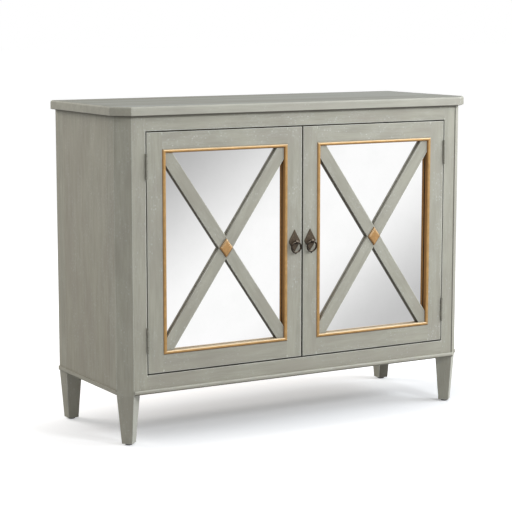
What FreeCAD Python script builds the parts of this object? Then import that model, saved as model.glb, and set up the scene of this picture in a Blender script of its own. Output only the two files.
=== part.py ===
import FreeCAD, Part
import os
import re

import Sketcher

# A two-door mirrored cabinet on four tapered legs, in millimetres.
# X runs to the right, Y to the back and Z up. The origin lies on the floor, under the middle of the cabinet.
# Pieces on the left are drawn, and their partners on the right are mirrored from them.

Vector = FreeCAD.Vector
KNUCKLES = 5

SIZES = {
    # Carcass
    "carcass_width": 990,
    "carcass_depth": 363,
    "overall_height": 804,
    "corner_cant": 31,
    "side_thickness": 18,
    "tongue_thickness": 8,
    "tongue_length": 8,
    "bottom_thickness": 18,
    "dado_depth": 6,
    "sill_drop": 1,
    "back_thickness": 6,
    "back_rabbet": 10,
    "rear_rail_thickness": 18,
    "rear_top_rail_height": 50,
    "cleat_square": 20,
    "glue_gap": 0.1,
    # Top
    "top_thickness": 22,
    "top_overhang": 13,
    "top_edge_radius": 6,
    "top_under_radius": 2,
    # Posts, legs and glides
    "leg_height": 124,
    "post_width": 66.5,
    "post_back_margin": 4,
    "front_leg_foot": 26.5,
    "rear_post_square": 42,
    "rear_leg_foot": 27,
    "glide_height": 4,
    "glide_diameter": 21,
    "glide_tread": 17,
    "nail_diameter": 3,
    "nail_length": 16,
    # Face frame and base bead
    "frame_thickness": 22,
    "top_rail_height": 36,
    "bottom_rail_height": 45,
    "tenon_length": 20,
    "tenon_thickness": 7,
    "tenon_shoulder": 8,
    "tenon_end_gap": 1,
    "bead_height": 11,
    "bead_reach": 6,
    "side_bead_reach": 3,
    "bead_flat": 0.5,
    # Shelf and its pins
    "shelf_height": 455,
    "shelf_thickness": 18,
    "shelf_clearance": 1.5,
    "shelf_pin_diameter": 5,
    "shelf_pin_insert": 9,
    "shelf_pin_inset": 40,
    "shelf_pin_pitch": 32,
    "pin_tab_length": 10,
    "pin_tab_width": 8,
    "pin_tab_thickness": 3,
    # Doors
    "door_thickness": 20,
    "door_side_gap": 3,
    "door_top_gap": 3,
    "door_bottom_gap": 3.5,
    "door_center_gap": 4.5,
    "door_stile_width": 40.5,
    "door_top_rail_width": 40.5,
    "door_bottom_rail_width": 42.5,
    "door_rabbet": 6,
    "mirror_setback": 11,
    "mirror_thickness": 4,
    "mirror_clearance": 0.5,
    "gilt_width": 9,
    "gilt_rise": 3,
    "gilt_flat": 0.5,
    "lattice_bar_width": 31.5,
    "lattice_bar_thickness": 8.5,
    "lattice_clearance": 0.2,
    "diamond_width": 36,
    "diamond_height": 46,
    "diamond_edge": 3,
    "diamond_rise": 2,
    "diamond_face_width": 29.5,
    "diamond_face_height": 37.7,
    "clip_length": 24,
    "clip_width": 12,
    "clip_thickness": 1.5,
    "clip_peg_diameter": 3,
    "clip_peg_length": 8,
    "clip_pitch": 165,
    # Hinges
    "hinge_length": 60,
    "hinge_inset": 50,
    "barrel_diameter": 5,
    "barrel_clearance": 0.4,
    "knuckle_gap": 0.3,
    "hinge_pin_diameter": 2.5,
    "hinge_pin_clearance": 0.05,
    "hinge_cap_diameter": 4.2,
    "hinge_cap_height": 1.2,
    "leaf_thickness": 1.5,
    "leaf_depth": 15,
    "hinge_screw_setback": 8.5,
    "hinge_screw_pitch": 20,
    # Ring pulls
    "pull_above_middle": 2,
    "plate_width": 34,
    "plate_height": 55,
    "plate_above_eye": 30,
    "plate_shoulder": 30,
    "plate_thickness": 2,
    "plate_corner_radius": 5.5,
    "plate_chamfer": 0.8,
    "plate_hole_gap": 0.1,
    "post_diameter": 7,
    "post_shank_diameter": 4,
    "post_shank_length": 14,
    "eye_standoff": 8,
    "eye_diameter": 10,
    "eye_width": 7,
    "eye_rounding": 1.5,
    "ring_diameter": 30.5,
    "ring_wire": 4.4,
    "ring_lean": 6,
    "ring_clearance": 0.45,
    "nub_diameter": 5.5,
    "nub_length": 5,
    # Magnetic catches
    "catch_offset": 72,
    "catch_width": 30,
    "catch_height": 18,
    "catch_depth": 16,
    "catch_flange": 3,
    "catch_flange_rise": 28,
    "catch_drop": 4,
    "strike_width": 24,
    "strike_height": 14,
    "strike_thickness": 1.5,
    "strike_peg_diameter": 3,
    "strike_peg_length": 8,
    # Wood screws
    "screw_diameter": 2.6,
    "screw_head_diameter": 5,
    "screw_clearance": 0.05,
    "screw_end_gap": 1,
    "hinge_screw_length": 16,
    "top_screw_length": 34,
    "top_screw_margin": 37.5,
    "back_screw_length": 18,
    "back_screw_margin": 63,
    "back_screw_inset": 13,
}

DERIVED = {
    # Carcass planes
    "half_width": "carcass_width / 2",
    "opening_half": "half_width - post_width",
    "carcass_top": "overall_height - top_thickness",
    "pull_reach": "plate_thickness + eye_standoff + eye_diameter / 2",
    "front_y": "(pull_reach - carcass_depth) / 2",
    "back_y": "front_y + carcass_depth",
    "post_back_y": "front_y + 2 * corner_cant + post_back_margin",
    "rear_post_y": "back_y - rear_post_square",
    "rear_post_x": "rear_post_square - half_width",
    "side_inner_x": "side_thickness - half_width",
    "opening_bottom": "leg_height + bottom_rail_height",
    "opening_top": "carcass_top - top_rail_height",
    "frame_back_y": "front_y + frame_thickness",
    "floor_top": "opening_bottom - sill_drop",
    "floor_bottom": "floor_top - bottom_thickness",
    "back_panel_y": "back_y - back_thickness",
    "rear_rail_y": "back_panel_y - rear_rail_thickness",
    "cleat_bottom": "carcass_top - cleat_square",
    "bead_rounding": "min(bead_reach, bead_height / 2) - bead_flat",
    "side_bead_rounding": "min(side_bead_reach, bead_height / 2) - bead_flat",
    "side_middle_y": "(post_back_y + rear_post_y) / 2",
    "top_screw_step": "(rear_post_y - post_back_y) / 2 - top_screw_margin",
    "back_screw_step": "(half_width - rear_post_square - back_screw_margin) / 3",
    # Top outline
    "top_half": "half_width + top_overhang",
    "top_front": "front_y - top_overhang",
    "top_cant": "corner_cant + top_overhang * (2 - sqrt(2))",
    # Legs
    "front_leg_x": "corner_cant - half_width",
    "front_leg_y": "front_y + corner_cant",
    "rear_leg_x": "rear_post_square / 2 - half_width",
    "rear_leg_y": "back_y - rear_post_square / 2",
    # Left door
    "door_hinge_x": "door_side_gap - opening_half",
    "door_lock_x": "-door_center_gap / 2",
    "door_bottom": "opening_bottom + door_bottom_gap",
    "door_top": "opening_top - door_top_gap",
    "door_back_y": "front_y + door_thickness",
    "panel_left": "door_hinge_x + door_stile_width",
    "panel_right": "door_lock_x - door_stile_width",
    "panel_bottom": "door_bottom + door_bottom_rail_width",
    "panel_top": "door_top - door_top_rail_width",
    "mirror_y": "front_y + mirror_setback",
    "mirror_back_y": "mirror_y + mirror_thickness",
    "gilt_rounding": "gilt_width / 2 - gilt_flat",
    "sight_x": "(panel_left + panel_right) / 2",
    "sight_z": "(panel_bottom + panel_top) / 2",
    "lattice_half_width": "(panel_right - panel_left) / 2 - gilt_width - lattice_clearance",
    "lattice_half_height": "(panel_top - panel_bottom) / 2 - gilt_width - lattice_clearance",
    "lattice_half_diagonal": "sqrt(lattice_half_width^2 + lattice_half_height^2)",
    "lattice_cut_x": "lattice_bar_width * lattice_half_diagonal / (2 * lattice_half_height)",
    "lattice_cut_z": "lattice_bar_width * lattice_half_diagonal / (2 * lattice_half_width)",
    "lattice_y": "mirror_y - lattice_bar_thickness",
    "lattice_middle_y": "mirror_y - lattice_bar_thickness / 2",
    # Hinges
    "hinge_x": "door_side_gap / 2 - opening_half",
    "hinge_y": "front_y - barrel_clearance - barrel_diameter / 2",
    "lower_hinge_z": "door_bottom + hinge_inset",
    "upper_hinge_z": "door_top - hinge_inset - hinge_length",
    "knuckle_pitch": f"hinge_length / {KNUCKLES}",
    "pin_bore_radius": "hinge_pin_diameter / 2 + hinge_pin_clearance",
    # Ring pulls
    "pull_x": "door_lock_x - door_stile_width / 2",
    "pull_height": "sight_z + pull_above_middle",
    "plate_y": "front_y - plate_thickness",
    "plate_top": "pull_height + plate_above_eye",
    "eye_y": "plate_y - eye_standoff",
    "ring_radius": "(ring_diameter - ring_wire) / 2",
    "eye_hole_radius": "ring_wire / 2 + eye_width^2 / (8 * ring_radius) + ring_clearance",
    "ring_middle_y": "eye_y + ring_radius * sin(ring_lean)",
    "ring_middle_z": "pull_height - ring_radius * cos(ring_lean)",
    "ring_foot_y": "eye_y + 2 * ring_radius * sin(ring_lean)",
    "ring_foot_z": "pull_height - 2 * ring_radius * cos(ring_lean)",
    "nub_tip_radius": "ring_wire / 8",
    # Catches
    "catch_top": "opening_top - catch_drop",
    "strike_z": "catch_top - catch_height / 2",
    "screw_head_height": "(screw_head_diameter - screw_diameter) / 2",
}

doc = FreeCAD.newDocument("mirrored_cabinet")
sheet = doc.addObject("Spreadsheet::Sheet", "Sizes")


def fill_sheet():
    """Puts every driving size, and every plane worked out from them, in a cell with an alias."""
    cells = [(alias, str(number)) for alias, number in SIZES.items()]
    cells += [(alias, "=" + formula) for alias, formula in DERIVED.items()]
    for row, (alias, content) in enumerate(cells, 1):
        sheet.set(f"A{row}", alias)
        sheet.set(f"B{row}", content)
        sheet.setAlias(f"B{row}", alias)
    doc.recompute()


def in_sheet(formula):
    """Points each size named in a formula at its cell."""
    def cell(word):
        name = word.group()
        return "Sizes." + name if name in SIZES or name in DERIVED else name
    return re.sub(r"[a-z_]+", cell, str(formula))


def value(formula):
    return float(sheet.evalExpression(in_sheet(formula)))


def bind(piece, **formulas):
    """Binds properties to formulas; a double underscore stands for a dot."""
    for name, formula in formulas.items():
        piece.setExpression(name.replace("__", "."), in_sheet(formula))


def place(piece, at, axis=(0, 0, 1)):
    """Turns a piece's own Z to an axis and binds its position."""
    piece.Placement = FreeCAD.Placement(Vector(), FreeCAD.Rotation(Vector(0, 0, 1), Vector(*axis)))
    bind(piece, Placement__Base__x=at[0], Placement__Base__y=at[1], Placement__Base__z=at[2])


def named(kind, label):
    piece = doc.addObject(kind, label)
    piece.Label = label
    return piece


# Features inside a body

def box_in(body, x, y, z, kind="Additive"):
    """Adds or cuts a box that spans three (from, to) pairs of formulas."""
    box = body.newObject(f"PartDesign::{kind}Box", "box")
    bind(box, Length=f"({x[1]}) - ({x[0]})", Width=f"({y[1]}) - ({y[0]})", Height=f"({z[1]}) - ({z[0]})")
    place(box, (x[0], y[0], z[0]))


def cut_box(body, x, y, z):
    box_in(body, x, y, z, "Subtractive")


def rod_in(body, at, axis, radius, length, kind="Additive"):
    """Adds or cuts a cylinder that runs along an axis from a point."""
    cylinder = body.newObject(f"PartDesign::{kind}Cylinder", "cylinder")
    bind(cylinder, Radius=radius, Height=length)
    place(cylinder, at, axis)


def cut_bore(body, at, axis, radius, depth):
    rod_in(body, at, axis, radius, depth, "Subtractive")


def cut_countersink(body, at, axis):
    sink = body.newObject("PartDesign::SubtractiveCone", "countersink")
    bind(sink, Radius1="screw_head_diameter / 2 + screw_clearance",
         Radius2="screw_diameter / 2 + screw_clearance", Height="screw_head_height")
    place(sink, at, axis)


def cut_screw_hole(body, at, axis, depth):
    cut_bore(body, at, axis, "screw_diameter / 2 + screw_clearance", depth)


def outline(body, role, points, offset="0"):
    """Draws a closed polygon on one of the body's own planes, each corner bound to its formulas."""
    plane = next(item for item in body.Origin.OriginFeatures if item.Role == role)
    sketch = body.newObject("Sketcher::SketchObject", "outline")
    sketch.AttachmentSupport = [(plane, "")]
    sketch.MapMode = "FlatFace"
    bind(sketch, AttachmentOffset__Base__z=offset)
    corners = [Vector(value(across), value(along), 0) for across, along in points]
    count = len(points)
    for index in range(count):
        sketch.addGeometry(Part.LineSegment(corners[index], corners[(index + 1) % count]), False)
    for index in range(count):
        sketch.addConstraint(Sketcher.Constraint("Coincident", index, 2, (index + 1) % count, 1))
    for index, (across, along) in enumerate(points):
        for kind, formula, number in (("DistanceX", across, corners[index].x),
                                      ("DistanceY", along, corners[index].y)):
            order = sketch.addConstraint(Sketcher.Constraint(kind, -1, 1, index, 1, number))
            sketch.setExpression(f"Constraints[{order}]", in_sheet(formula))
    return sketch


def pad(body, sketch, length, reversed_way=False):
    feature = body.newObject("PartDesign::Pad", "pad")
    feature.Profile = sketch
    feature.Reversed = reversed_way
    bind(feature, Length=length)


def upright_outline(body, points, y):
    """Draws a polygon of (x, z) corners on an upright plane at y."""
    return outline(body, "XZ_Plane", points, f"-({y})")


def upright_pad(body, points, y):
    """Pads a polygon of (x, z) corners from the first y of a pair back to the second."""
    sketch = upright_outline(body, points, y[0])
    pad(body, sketch, f"({y[1]}) - ({y[0]})", True)


def loft(body, first, second):
    feature = body.newObject("PartDesign::AdditiveLoft", "taper")
    feature.Profile = first
    feature.Sections = [second]
    feature.Ruled = True


def dress(body, kind, size_name, size, wanted):
    """Rounds or bevels the edges of the body that pass a test of their bounding box."""
    doc.recompute()
    tip = body.Tip
    names = [f"Edge{number}" for number, edge in enumerate(tip.Shape.Edges, 1) if wanted(edge.BoundBox)]
    feature = body.newObject(f"PartDesign::{kind}", kind.lower())
    feature.Base = (tip, names)
    bind(feature, **{size_name: size})


def round_edges(body, radius, wanted):
    dress(body, "Fillet", "Radius", radius, wanted)


def flat_at(low, high, level):
    """Tells whether an edge lies in the plane at a level."""
    return abs(low - level) < 1e-6 and abs(high - level) < 1e-6


# Pieces made of primitives

def block(label, x, y, z):
    box = named("Part::Box", label)
    bind(box, Length=f"({x[1]}) - ({x[0]})", Width=f"({y[1]}) - ({y[0]})", Height=f"({z[1]}) - ({z[0]})")
    place(box, (x[0], y[0], z[0]))
    return box


def rod(label, at, axis, radius, length):
    cylinder = named("Part::Cylinder", label)
    bind(cylinder, Radius=radius, Height=length)
    place(cylinder, at, axis)
    return cylinder


def cone(label, at, axis, near_radius, far_radius, length):
    piece = named("Part::Cone", label)
    bind(piece, Radius1=near_radius, Radius2=far_radius, Height=length)
    place(piece, at, axis)
    return piece


def fused(label, members):
    piece = named("Part::MultiFuse", label)
    piece.Shapes = members
    return piece


def cut(label, base, tool):
    piece = named("Part::Cut", label)
    piece.Base = base
    piece.Tool = tool
    return piece


def group(label, members):
    piece = named("Part::Compound", label)
    piece.Links = members
    return piece


def mirrored(label, source):
    piece = named("Part::Mirroring", label)
    piece.Source = source
    piece.Normal = Vector(1, 0, 0)
    return piece


def both_sides(label, left):
    """Groups pieces on the left with their mirror images on the right."""
    return group(label, [left, mirrored("right_" + label, left)])


def screw(label, at, axis, length):
    """A countersunk wood screw whose head is flush at its point."""
    head = cone(label + "_head", at, axis, "screw_head_diameter / 2", "screw_diameter / 2",
                "screw_head_height")
    shank = rod(label + "_shank", at, axis, "screw_diameter / 2", length)
    return fused(label, [head, shank])


# Places that several pieces share

HINGE_SPANS = [(z, f"{z} + hinge_length") for z in ("lower_hinge_z", "upper_hinge_z")]
HINGE_SCREW_ZS = [f"{z} + hinge_length / 2 + ({step}) * hinge_screw_pitch"
                  for z in ("lower_hinge_z", "upper_hinge_z") for step in (-1, 0, 1)]
HINGE_SCREW_Y = "front_y + hinge_screw_setback"
TOP_SCREW_YS = [f"side_middle_y + ({step}) * top_screw_step" for step in (-1, 0, 1)]
TOP_SCREW_X = "side_inner_x + cleat_square / 2"
BACK_SCREW_XS = [f"({step}) * back_screw_step" for step in (-3, -1, 1, 3)]
BACK_SCREW_ZS = ["carcass_top - back_screw_inset", "leg_height + back_screw_inset"]
SHELF_PIN_YS = ["post_back_y + shelf_pin_inset", "rear_post_y - shelf_pin_inset"]
CLIP_ZS = [f"sight_z + ({step}) * clip_pitch" for step in (-1, 0, 1)]
FRAME_TENON_Y = ("front_y + (frame_thickness - tenon_thickness) / 2",
                 "front_y + (frame_thickness + tenon_thickness) / 2")
REAR_TENON_Y = ("rear_rail_y + (rear_rail_thickness - tenon_thickness) / 2",
                "rear_rail_y + (rear_rail_thickness + tenon_thickness) / 2")
DOOR_TENON_Y = ("front_y + (door_thickness - tenon_thickness) / 2",
                "front_y + (door_thickness + tenon_thickness) / 2")
TONGUE_X = ("-half_width + (side_thickness - tongue_thickness) / 2",
            "-half_width + (side_thickness + tongue_thickness) / 2")
CARCASS_Z = ("leg_height", "carcass_top")
TOP_RAIL_Z = ("opening_top", "carcass_top")
BOTTOM_RAIL_Z = ("leg_height", "opening_bottom")
REAR_TOP_RAIL_Z = ("carcass_top - rear_top_rail_height", "carcass_top")
REAR_BOTTOM_RAIL_Z = ("leg_height", "floor_bottom")
DOOR_TOP_RAIL_Z = ("panel_top", "door_top")
DOOR_BOTTOM_RAIL_Z = ("door_bottom", "panel_bottom")


def wider(span, gap):
    return (f"{span[0]} - {gap}", f"{span[1]} + {gap}")


def shouldered(span):
    return (f"{span[0]} + tenon_shoulder", f"{span[1]} - tenon_shoulder")


def cut_mortise(body, x, y, z, way):
    """Cuts a mortise from the face at x, way being 1 towards +X and -1 towards -X."""
    deep = "(tenon_length + tenon_end_gap)"
    span = (x, f"{x} + {deep}") if way > 0 else (f"{x} - {deep}", x)
    cut_box(body, span, wider(y, "glue_gap"), wider(shouldered(z), "glue_gap"))


def tenoned_rail(label, x, y, z, tenon_y):
    """A rail between two faces, with a tenon at each end."""
    body = named("PartDesign::Body", label)
    box_in(body, x, y, z)
    box_in(body, (f"{x[0]} - tenon_length", f"{x[1]} + tenon_length"), tenon_y, shouldered(z))
    return body


def top_panel():
    body = named("PartDesign::Body", "top_panel")
    left = [("-top_half", "back_y"), ("-top_half", "top_front + top_cant"),
            ("top_cant - top_half", "top_front")]
    right = [("top_half - top_cant", "top_front"), ("top_half", "top_front + top_cant"),
             ("top_half", "back_y")]
    pad(body, outline(body, "XY_Plane", left + right, "carcass_top"), "top_thickness")
    back = value("back_y")

    def around(level):
        height = value(level)
        return lambda box: flat_at(box.ZMin, box.ZMax, height) and not flat_at(box.YMin, box.YMax, back)

    round_edges(body, "top_edge_radius", around("overall_height"))
    round_edges(body, "top_under_radius", around("carcass_top"))
    for x in (TOP_SCREW_X, f"-({TOP_SCREW_X})"):
        for y in TOP_SCREW_YS:
            cut_screw_hole(body, (x, y, "carcass_top"), (0, 0, 1),
                           "top_screw_length - cleat_square + screw_end_gap")
    return body


def turned_square(x, y, half_diagonal):
    return [(f"{x} - {half_diagonal}", y), (x, f"{y} - {half_diagonal}"),
            (f"{x} + {half_diagonal}", y), (x, f"{y} + {half_diagonal}")]


def square(x, y, half_side):
    return [(f"{x} - {half_side}", f"{y} - {half_side}"), (f"{x} + {half_side}", f"{y} - {half_side}"),
            (f"{x} + {half_side}", f"{y} + {half_side}"), (f"{x} - {half_side}", f"{y} + {half_side}")]


def taper_leg(body, upper, lower, x, y):
    """Runs a leg from the underside of the carcass down to its glide, with a hole for the glide's nail."""
    loft(body, outline(body, "XY_Plane", upper, "leg_height"),
         outline(body, "XY_Plane", lower, "glide_height"))
    cut_bore(body, (x, y, "glide_height"), (0, 0, 1), "nail_diameter / 2 + screw_clearance",
             "nail_length + screw_end_gap")


def front_post():
    """A corner post with a canted face, which runs on down as a leg turned 45 degrees."""
    body = named("PartDesign::Body", "left_front_post")
    section = [("-half_width", "front_leg_y"), ("front_leg_x", "front_y"), ("-opening_half", "front_y"),
               ("-opening_half", "post_back_y"), ("-half_width", "post_back_y")]
    pad(body, outline(body, "XY_Plane", section, "leg_height"), "carcass_top - leg_height")
    taper_leg(body, turned_square("front_leg_x", "front_leg_y", "corner_cant"),
              turned_square("front_leg_x", "front_leg_y", "front_leg_foot / sqrt(2)"),
              "front_leg_x", "front_leg_y")
    for rail_z in (TOP_RAIL_Z, BOTTOM_RAIL_Z):
        cut_mortise(body, "-opening_half", FRAME_TENON_Y, rail_z, -1)
    cut_box(body, wider(TONGUE_X, "glue_gap"),
            ("post_back_y - tongue_length - tenon_end_gap", "post_back_y"), CARCASS_Z)
    for span in HINGE_SPANS:
        cut_box(body, ("-opening_half - leaf_thickness", "-opening_half"),
                ("front_y", "front_y + leaf_depth"), span)
    for z in HINGE_SCREW_ZS:
        cut_screw_hole(body, ("-opening_half", HINGE_SCREW_Y, z), (-1, 0, 0),
                       "hinge_screw_length + screw_end_gap")
    return body


def rear_post():
    body = named("PartDesign::Body", "left_rear_post")
    box_in(body, ("-half_width", "rear_post_x"), ("rear_post_y", "back_y"), CARCASS_Z)
    taper_leg(body, square("rear_leg_x", "rear_leg_y", "rear_post_square / 2"),
              square("rear_leg_x", "rear_leg_y", "rear_leg_foot / 2"), "rear_leg_x", "rear_leg_y")
    for rail_z in (REAR_TOP_RAIL_Z, REAR_BOTTOM_RAIL_Z):
        cut_mortise(body, "rear_post_x", REAR_TENON_Y, rail_z, -1)
    cut_box(body, wider(TONGUE_X, "glue_gap"),
            ("rear_post_y", "rear_post_y + tongue_length + tenon_end_gap"), CARCASS_Z)
    cut_box(body, ("rear_post_x - back_rabbet", "rear_post_x"), ("back_panel_y", "back_y"), CARCASS_Z)
    return body


def side_panel():
    body = named("PartDesign::Body", "left_side_panel")
    box_in(body, ("-half_width", "side_inner_x"), ("post_back_y", "rear_post_y"), CARCASS_Z)
    box_in(body, TONGUE_X, ("post_back_y - tongue_length", "rear_post_y + tongue_length"), CARCASS_Z)
    cut_box(body, ("side_inner_x - dado_depth - glue_gap", "side_inner_x"), ("post_back_y", "rear_post_y"),
            wider(("floor_bottom", "floor_top"), "glue_gap"))
    for y in SHELF_PIN_YS:
        for step in (-1, 0, 1):
            height = f"shelf_height - shelf_pin_diameter / 2 + ({step}) * shelf_pin_pitch"
            cut_bore(body, ("side_inner_x", y, height), (-1, 0, 0),
                     "shelf_pin_diameter / 2 + screw_clearance", "shelf_pin_insert + screw_end_gap")
    return body


def bottom_panel():
    """The cabinet floor, let into the side panels and notched round the four posts."""
    body = named("PartDesign::Body", "bottom_panel")
    reach = "(half_width - side_thickness + dado_depth)"
    z = ("floor_bottom", "floor_top")
    box_in(body, (f"-{reach}", reach), ("frame_back_y", "back_panel_y"), z)
    for way in (-1, 1):
        for inner, y in (("opening_half", ("frame_back_y", "post_back_y + glue_gap")),
                         ("-rear_post_x", ("rear_post_y - glue_gap", "back_panel_y"))):
            inside = f"({inner} - glue_gap)"
            x = (inside, reach) if way > 0 else (f"-{reach}", f"-{inside}")
            cut_box(body, x, y, z)
    return body


def back_panel():
    body = named("PartDesign::Body", "back_panel")
    reach = "(back_rabbet - rear_post_x - glue_gap)"
    box_in(body, (f"-{reach}", reach), ("back_panel_y", "back_y"), CARCASS_Z)
    for x in BACK_SCREW_XS:
        for z in BACK_SCREW_ZS:
            cut_countersink(body, (x, "back_y", z), (0, -1, 0))
            cut_screw_hole(body, (x, "back_y", z), (0, -1, 0), "back_thickness")
    return body


def rear_rail(label, z, screw_z):
    body = tenoned_rail(label, ("rear_post_x", "-rear_post_x"), ("rear_rail_y", "back_panel_y"), z,
                        REAR_TENON_Y)
    for x in BACK_SCREW_XS:
        cut_screw_hole(body, (x, "back_panel_y", screw_z), (0, -1, 0),
                       "back_screw_length - back_thickness + screw_end_gap")
    return body


def base_bead(label, x, y, lengthwise, face, rounding):
    """A rounded strip along the foot of the carcass, face naming the side that is rounded."""
    body = named("PartDesign::Body", label)
    box_in(body, x, y, ("leg_height", "leg_height + bead_height"))
    level = value(y[0] if face == "front" else x[0])
    long_side = value(f"({lengthwise[1]}) - ({lengthwise[0]})")

    def outer(box):
        low, high = (box.YMin, box.YMax) if face == "front" else (box.XMin, box.XMax)
        return flat_at(low, high, level) and abs(box.DiagonalLength - long_side) < 1e-6

    round_edges(body, rounding, outer)
    return body


def top_cleats():
    body = named("PartDesign::Body", "left_top_cleat")
    box_in(body, ("side_inner_x", "side_inner_x + cleat_square"), ("post_back_y", "rear_post_y"),
           ("cleat_bottom", "carcass_top"))
    for y in TOP_SCREW_YS:
        cut_countersink(body, (TOP_SCREW_X, y, "cleat_bottom"), (0, 0, 1))
        cut_screw_hole(body, (TOP_SCREW_X, y, "cleat_bottom"), (0, 0, 1), "cleat_square")
    return both_sides("top_cleats", body)


def shelf():
    body = named("PartDesign::Body", "adjustable_shelf")
    reach = "(half_width - side_thickness - shelf_clearance)"
    z = ("shelf_height", "shelf_height + shelf_thickness")
    back = "back_panel_y - shelf_clearance"
    inside = "(-rear_post_x - shelf_clearance)"
    box_in(body, (f"-{reach}", reach), ("post_back_y + shelf_clearance", back), z)
    for x in ((f"-{reach}", f"-{inside}"), (inside, reach)):
        cut_box(body, x, ("rear_post_y - shelf_clearance", back), z)
    return body


def shelf_pins():
    pins = []
    for place_word, y in zip(("front", "rear"), SHELF_PIN_YS):
        peg = rod(f"{place_word}_pin_peg", ("side_inner_x - shelf_pin_insert", y,
                                            "shelf_height - shelf_pin_diameter / 2"),
                  (1, 0, 0), "shelf_pin_diameter / 2", "shelf_pin_insert")
        tab = block(f"{place_word}_pin_tab", ("side_inner_x", "side_inner_x + pin_tab_length"),
                    (f"{y} - pin_tab_width / 2", f"{y} + pin_tab_width / 2"),
                    ("shelf_height - pin_tab_thickness", "shelf_height"))
        pins.append(fused(f"{place_word}_shelf_pin", [peg, tab]))
    return both_sides("shelf_pins", group("left_shelf_pins", pins))


def floor_glides():
    glides = []
    for place_word, x, y in (("front", "front_leg_x", "front_leg_y"), ("rear", "rear_leg_x", "rear_leg_y")):
        disc = cone(f"{place_word}_glide_disc", (x, y, "0"), (0, 0, 1), "glide_tread / 2",
                    "glide_diameter / 2", "glide_height")
        nail = rod(f"{place_word}_glide_nail", (x, y, "0"), (0, 0, 1), "nail_diameter / 2",
                   "glide_height + nail_length")
        glides.append(fused(f"{place_word}_glide", [disc, nail]))
    return both_sides("floor_glides", group("left_floor_glides", glides))


def top_screws():
    left = group("left_top_screws", [
        screw(f"top_screw_{number}", (TOP_SCREW_X, y, "cleat_bottom"), (0, 0, 1), "top_screw_length")
        for number, y in enumerate(TOP_SCREW_YS)])
    return both_sides("top_screws", left)


def back_screws():
    places = [(x, z) for x in BACK_SCREW_XS for z in BACK_SCREW_ZS]
    return group("back_screws", [
        screw(f"back_screw_{number}", (x, "back_y", z), (0, -1, 0), "back_screw_length")
        for number, (x, z) in enumerate(places)])


# Hinges

def leaf(label, base_z, plate_x, face_x, way, knuckles):
    """A hinge leaf: a plate let into the wood, with its share of the knuckles round the pin.

    The face that the screws enter lies at face_x, and they run along way."""
    plate = block(f"{label}_plate", plate_x, ("front_y", "front_y + leaf_depth"),
                  (base_z, f"{base_z} + hinge_length"))
    solids = [plate]
    for knuckle in knuckles:
        low = f"{base_z} + {knuckle} * knuckle_pitch + knuckle_gap / 2"
        high = f"{base_z} + {knuckle + 1} * knuckle_pitch - knuckle_gap / 2"
        solids.append(rod(f"{label}_knuckle_{knuckle}", ("hinge_x", "hinge_y", low), (0, 0, 1),
                          "barrel_diameter / 2", "knuckle_pitch - knuckle_gap"))
        solids.append(block(f"{label}_neck_{knuckle}", plate_x, ("hinge_y", "front_y"), (low, high)))
    holes = [rod(f"{label}_pin_bore", ("hinge_x", "hinge_y", base_z), (0, 0, 1), "pin_bore_radius",
                 "hinge_length")]
    for step in (-1, 0, 1):
        at = (face_x, HINGE_SCREW_Y, f"{base_z} + hinge_length / 2 + ({step}) * hinge_screw_pitch")
        holes.append(cone(f"{label}_sink_{step + 1}", at, (way, 0, 0),
                          "screw_head_diameter / 2 + screw_clearance", "screw_diameter / 2 + screw_clearance",
                          "screw_head_height"))
        holes.append(rod(f"{label}_hole_{step + 1}", at, (way, 0, 0), "screw_diameter / 2 + screw_clearance",
                         "leaf_thickness"))
    return cut(label, fused(f"{label}_body", solids), fused(f"{label}_holes", holes))


def leaf_pair(label, plate_x, face_x, way, knuckles):
    return group(label, [leaf(f"{label}_{word}", z, plate_x, face_x, way, knuckles)
                         for word, z in (("lower", "lower_hinge_z"), ("upper", "upper_hinge_z"))])


def hinge_screws(label, face_x, way):
    return group(label, [
        screw(f"{label}_{number}", (face_x, HINGE_SCREW_Y, z), (way, 0, 0), "hinge_screw_length")
        for number, z in enumerate(HINGE_SCREW_ZS)])


def hinge_pins():
    pins = []
    for word, z in (("lower", "lower_hinge_z"), ("upper", "upper_hinge_z")):
        low = f"{z} + knuckle_gap / 2 - hinge_cap_height"
        high = f"{z} + hinge_length - knuckle_gap / 2"
        shaft = rod(f"{word}_pin_shaft", ("hinge_x", "hinge_y", low), (0, 0, 1), "hinge_pin_diameter / 2",
                    f"{high} - ({low}) + hinge_cap_height")
        caps = [rod(f"{word}_pin_cap_{number}", ("hinge_x", "hinge_y", cap), (0, 0, 1),
                    "hinge_cap_diameter / 2", "hinge_cap_height") for number, cap in enumerate((low, high))]
        pins.append(fused(f"{word}_hinge_pin", [shaft] + caps))
    return both_sides("hinge_pins", group("left_hinge_pins", pins))


# Catches

def magnet_catches():
    """A magnet housing below the front top rail, with a flange up the back of the rail."""
    x = ("-catch_offset - catch_width / 2", "-catch_offset + catch_width / 2")
    housing = block("left_catch_housing", x, ("frame_back_y", "frame_back_y + catch_depth"),
                    ("catch_top - catch_height", "catch_top"))
    flange = block("left_catch_flange", x, ("frame_back_y", "frame_back_y + catch_flange"),
                   ("catch_top", "catch_top + catch_flange_rise"))
    return both_sides("magnet_catches", fused("left_magnet_catch", [housing, flange]))


def strike_plate():
    plate = block("left_strike_face",
                  ("-catch_offset - strike_width / 2", "-catch_offset + strike_width / 2"),
                  ("door_back_y", "door_back_y + strike_thickness"),
                  ("strike_z - strike_height / 2", "strike_z + strike_height / 2"))
    peg = rod("left_strike_peg", ("-catch_offset", "door_back_y", "strike_z"), (0, -1, 0),
              "strike_peg_diameter / 2", "strike_peg_length")
    return fused("left_door_strike_plate", [plate, peg])


# Left door

RABBET_Y = ("mirror_y", "door_back_y")
STILE_Z = ("door_bottom", "door_top")
STILE_RABBET_Z = ("panel_bottom - door_rabbet", "panel_top + door_rabbet")


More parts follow.
